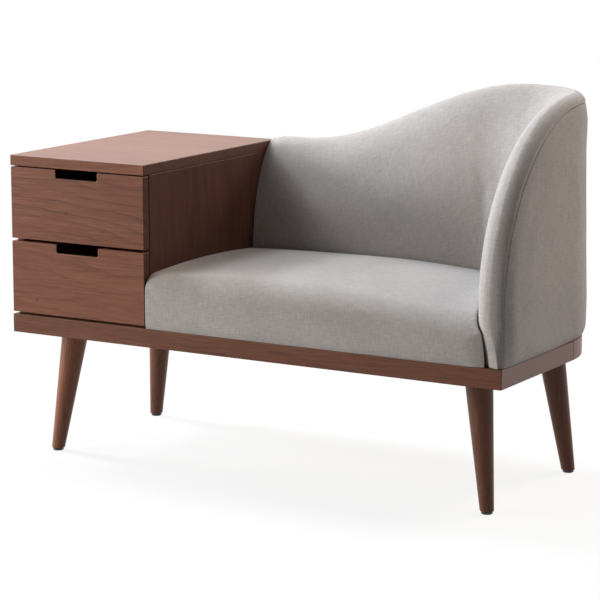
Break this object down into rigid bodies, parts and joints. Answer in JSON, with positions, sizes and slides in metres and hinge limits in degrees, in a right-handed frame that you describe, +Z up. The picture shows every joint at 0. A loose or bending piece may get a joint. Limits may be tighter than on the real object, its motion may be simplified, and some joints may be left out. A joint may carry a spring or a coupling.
{
  "type": "hall bench",
  "caption": "Hall bench with a padded seat, a back that sweeps up into one arm, and a walnut drawer cabinet on splayed turned legs.",
  "frame": {"origin": "on the floor, under the middle of the bench's outline", "axes": "+X from the cabinet to the arm, the front faces -Y, +Z up"},
  "size_m": [1.1599, 0.5299, 0.7965],
  "materials": {
    "walnut": "satin lacquered walnut, grain along the fronts and rails and upright on the sides",
    "plywood": "plain plywood",
    "birch": "clear lacquered birch",
    "fabric": "warm grey flat weave over foam",
    "steel": "bright zinc",
    "nylon": "black nylon"
  },
  "bodies": {
    "bench": {"front_rail": "walnut", "left_rail": "walnut", "back_rail": "walnut", "right_rail": "walnut", "corner_rail": "walnut", "base_board": "plywood", "cabinet_cross_rail": "plywood", "seat_cross_rail": "plywood", "leg_block_front_left": "plywood", "leg_plate_front_left": "steel", "leg_bolt_front_left": "steel", "leg_front_left": "walnut", "glide_front_left": "nylon", "leg_block_front_right": "plywood", "leg_plate_front_right": "steel", "leg_bolt_front_right": "steel", "leg_front_right": "walnut", "glide_front_right": "nylon", "leg_block_back_left": "plywood", "leg_plate_back_left": "steel", "leg_bolt_back_left": "steel", "leg_back_left": "walnut", "glide_back_left": "nylon", "leg_block_back_right": "plywood", "leg_plate_back_right": "steel", "leg_bolt_back_right": "steel", "leg_back_right": "walnut", "glide_back_right": "nylon", "cabinet_top": "walnut", "cabinet_bottom": "walnut", "cabinet_left_side": "walnut", "cabinet_right_side": "walnut", "cabinet_back": "plywood", "upper_drawer_left_track": "steel", "upper_drawer_right_track": "steel", "lower_drawer_left_track": "steel", "lower_drawer_right_track": "steel", "seat_cushion": "fabric", "back_pad": "fabric", "outer_cover": "fabric", "back_frame": "plywood", "frame_bolt_arm": "steel", "frame_bolt_corner": "steel", "frame_bolt_cabinet": "steel"},
    "upper_drawer": {"upper_drawer_front": "walnut", "upper_drawer_box_front": "birch", "upper_drawer_left_side": "birch", "upper_drawer_right_side": "birch", "upper_drawer_back": "birch", "upper_drawer_bottom": "birch", "upper_drawer_left_runner": "steel", "upper_drawer_right_runner": "steel"},
    "lower_drawer": {"lower_drawer_front": "walnut", "lower_drawer_box_front": "birch", "lower_drawer_left_side": "birch", "lower_drawer_right_side": "birch", "lower_drawer_back": "birch", "lower_drawer_bottom": "birch", "lower_drawer_left_runner": "steel", "lower_drawer_right_runner": "steel"}
  },
  "joints": [
    {"name": "upper_drawer_slide", "type": "slide", "parent": "bench", "child": "upper_drawer", "axis": [0, -1, 0], "range_m": [0, 0.32]},
    {"name": "lower_drawer_slide", "type": "slide", "parent": "bench", "child": "lower_drawer", "axis": [0, -1, 0], "range_m": [0, 0.32]}
  ]
}
